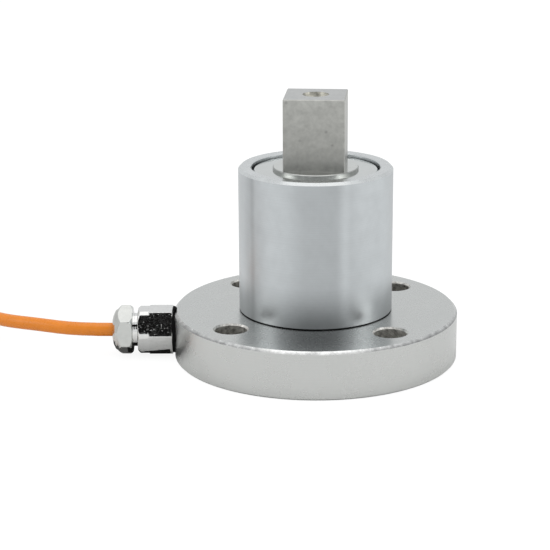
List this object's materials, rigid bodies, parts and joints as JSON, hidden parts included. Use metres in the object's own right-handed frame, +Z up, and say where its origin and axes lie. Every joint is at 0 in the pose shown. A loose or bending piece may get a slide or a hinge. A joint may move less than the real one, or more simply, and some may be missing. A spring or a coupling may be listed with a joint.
{
  "type": "static torque sensor",
  "caption": "Flange-mounted static torque sensor with a square drive, a round dust sleeve and a metal cable gland with coiled cable.",
  "frame": {"origin": "centre of the pilot recess at the flange's underside, where the sensor sits on its base", "axes": "+Z up along the torque axis towards the square drive; X and Y square with the drive's faces; the gland leaves towards -X, turned 5 degrees towards -Y"},
  "size_m": [0.27, 0.1358, 0.0971],
  "materials": {
    "machined_steel": "satin, fine-turned stainless steel",
    "sleeve_steel": "satin, fine-ground stainless steel",
    "nickel_plate": "bright nickel plate",
    "black_rubber": "matt nitrile rubber",
    "grey_rubber": "matt chloroprene rubber",
    "cage_nylon": "moulded nylon",
    "orange_sheath": "smooth polyurethane sheath",
    "red_core": "smooth insulation",
    "black_core": "smooth insulation",
    "green_core": "smooth insulation",
    "white_core": "smooth insulation",
    "gauge_film": "polyimide film over foil",
    "terminal_copper": "tinned copper on film",
    "lead_enamel": "enamelled wire",
    "board_laminate": "glass-epoxy laminate",
    "resistor_ceramic": "ceramic chip",
    "black_strap": "woven nylon strap",
    "shrink_sleeve": "shrunk polyolefin",
    "tinned_copper": "soldered strands"
  },
  "bodies": {
    "root": {"cable_coil": "orange_sheath", "cable_entry": "orange_sheath", "cable_lead": "orange_sheath", "cable_tail": "orange_sheath", "coil_ties": "black_strap", "compensation_board": "board_laminate", "core_black": "black_core", "core_green": "green_core", "core_red": "red_core", "core_white": "white_core", "end_sleeve": "shrink_sleeve", "gauge_lead_1": "lead_enamel", "gauge_lead_2": "lead_enamel", "gauge_lead_3": "lead_enamel", "gauge_lead_4": "lead_enamel", "gland_body": "nickel_plate", "gland_cage": "cage_nylon", "gland_gasket": "black_rubber", "gland_insert": "grey_rubber", "gland_nut": "nickel_plate", "lead_black": "black_core", "lead_green": "green_core", "lead_red": "red_core", "lead_white": "white_core", "outer_sleeve": "sleeve_steel", "shaft_seal": "black_rubber", "sleeve_gasket": "black_rubber", "strain_gauge_1": "gauge_film", "strain_gauge_2": "gauge_film", "strain_gauge_3": "gauge_film", "strain_gauge_4": "gauge_film", "terminal_strip_1": "terminal_copper", "terminal_strip_2": "terminal_copper", "terminal_strip_3": "terminal_copper", "terminal_strip_4": "terminal_copper", "tinned_tips": "tinned_copper", "torsion_body": "machined_steel", "trim_resistors": "resistor_ceramic"}
  },
  "joints": []
}
